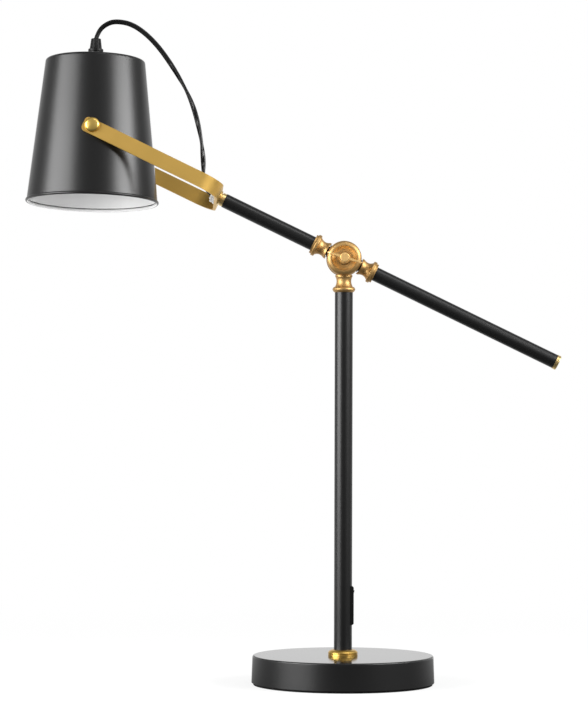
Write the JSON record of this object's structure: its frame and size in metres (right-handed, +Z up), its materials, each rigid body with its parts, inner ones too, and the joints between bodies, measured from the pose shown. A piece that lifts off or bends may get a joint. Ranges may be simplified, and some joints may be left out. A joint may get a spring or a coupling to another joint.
{
  "type": "counterweight balance desk lamp",
  "caption": "Desk lamp with a round weighted base, a thin stem, a tilting balance arm with a clamp screw, and a conical shade tilting in a strap yoke.",
  "frame": {"origin": "centre of the base's underside, on the surface that the lamp stands on", "axes": "+Z up along the stem, +X towards the counterweight end of the arm, -X towards the shade, Y along the hinge axes; the clamp screw is on the -Y side"},
  "size_m": [0.531, 0.1822, 0.6602],
  "materials": {
    "charcoal_paint": "satin charcoal black powder coat",
    "satin_brass": "brushed satin brass",
    "polished_brass": "polished brass",
    "cast_brass": "cast and polished brass",
    "zinc_steel": "zinc plated",
    "cast_weight": "raw casting",
    "pad_rubber": "matt black",
    "black_plastic": "fine matt black",
    "white_plastic": "smooth white",
    "opal_glass": "opal white",
    "cord_sheath": "soft black sheath"
  },
  "bodies": {
    "stand": {"base_cover": "charcoal_paint", "base_weight": "cast_weight", "base_plate": "zinc_steel", "base_pad": "pad_rubber", "outlet_bushing": "pad_rubber", "base_thread": "zinc_steel", "base_washer": "zinc_steel", "base_nut": "zinc_steel", "stem_collar": "polished_brass", "stem_foot": "zinc_steel", "stem_tube": "charcoal_paint", "switch_housing": "black_plastic", "knuckle_fork": "cast_brass", "dome_nut": "cast_brass"},
    "rocker": {"switch_rocker": "black_plastic"},
    "clamp": {"wing_screw": "cast_brass"},
    "arm": {"arm_tongue": "charcoal_paint", "friction_washer_near": "zinc_steel", "friction_washer_far": "zinc_steel", "coupler_rear": "cast_brass", "coupler_front": "cast_brass", "arm_tube_rear": "charcoal_paint", "arm_tube_front": "charcoal_paint", "counterweight": "zinc_steel", "end_cap": "polished_brass", "front_insert": "zinc_steel", "yoke_ferrule": "satin_brass", "hollow_nipple": "zinc_steel", "yoke_washer": "zinc_steel", "yoke_nut": "zinc_steel"},
    "yoke": {"yoke_strap": "satin_brass", "shade_cord": "cord_sheath"},
    "shade": {"shade_shell": "charcoal_paint", "pivot_knob_near": "polished_brass", "pivot_knob_far": "polished_brass", "pivot_bush_near": "polished_brass", "pivot_bush_far": "polished_brass", "pivot_nut_near": "zinc_steel", "pivot_nut_far": "zinc_steel", "gland_body": "black_plastic", "gland_nut": "black_plastic", "gland_locknut": "zinc_steel", "lamp_holder": "white_plastic", "bulb_cap": "zinc_steel", "bulb_glass": "opal_glass"}
  },
  "joints": [
    {"name": "arm_tilt", "type": "hinge", "parent": "stand", "child": "arm", "pos_m": [0, 0, 0.4209], "axis": [0, 1, 0], "range_deg": [-61, 10]},
    {"name": "head_swivel", "type": "hinge", "parent": "arm", "child": "yoke", "pos_m": [-0.12469, 0, 0.48118], "axis": [0.9003, 0, -0.4352], "range_deg": [-40, 40]},
    {"name": "shade_tilt", "type": "hinge", "parent": "yoke", "child": "shade", "pos_m": [-0.24811, 0.00012, 0.5425], "axis": [-0.0357, 0.9966, -0.0738], "range_deg": [-15, 60]},
    {"name": "clamp_turn", "type": "hinge", "parent": "stand", "child": "clamp", "pos_m": [0, -0.025, 0.4209], "axis": [0, -1, 0], "range_deg": [0, 180]},
    {"name": "switch_rock", "type": "hinge", "parent": "stand", "child": "rocker", "pos_m": [0.00745, 0, 0.078], "axis": [0, 1, 0], "range_deg": [-9, 0]}
  ]
}
